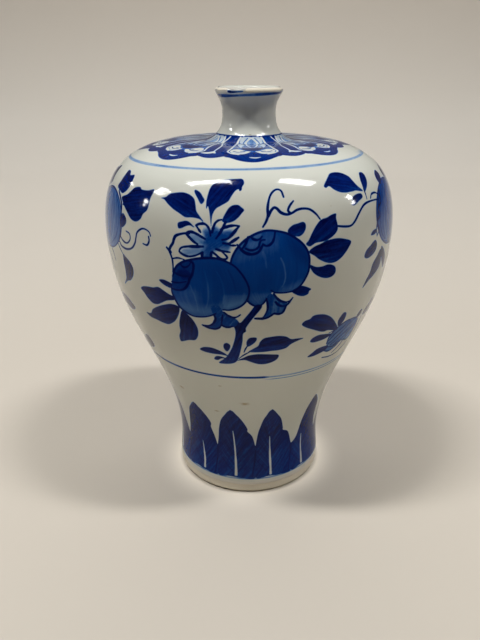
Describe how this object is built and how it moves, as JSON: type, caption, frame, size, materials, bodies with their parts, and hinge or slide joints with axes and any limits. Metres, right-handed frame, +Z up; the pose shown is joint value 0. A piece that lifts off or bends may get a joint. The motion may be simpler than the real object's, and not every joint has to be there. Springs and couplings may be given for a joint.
{
  "type": "meiping vase",
  "caption": "Porcelain meiping vase with a narrow neck, broad shoulder and waisted foot, glazed over blue fruit sprays, for standing on a shelf or holding a stem.",
  "frame": {"origin": "centre of the foot ring, on the surface the vase stands on", "axes": "+Z up the axis of the vase to the mouth, -Y towards the side with the main fruit spray"},
  "size_m": [0.1472, 0.1472, 0.21],
  "materials": {
    "biscuit_clay": "bare fired porcelain clay, matt, pale buff",
    "luting_slip": "fired slip, matt",
    "painted_glaze": "clear gloss glaze over cobalt blue painting",
    "plain_glaze": "clear gloss glaze, unpainted"
  },
  "bodies": {
    "root": {"lower_section": "biscuit_clay", "upper_section": "biscuit_clay", "neck_section": "biscuit_clay", "body_luting_slip": "luting_slip", "neck_luting_slip": "luting_slip", "outer_glaze": "painted_glaze", "inner_glaze": "plain_glaze", "base_glaze": "plain_glaze"}
  },
  "joints": []
}
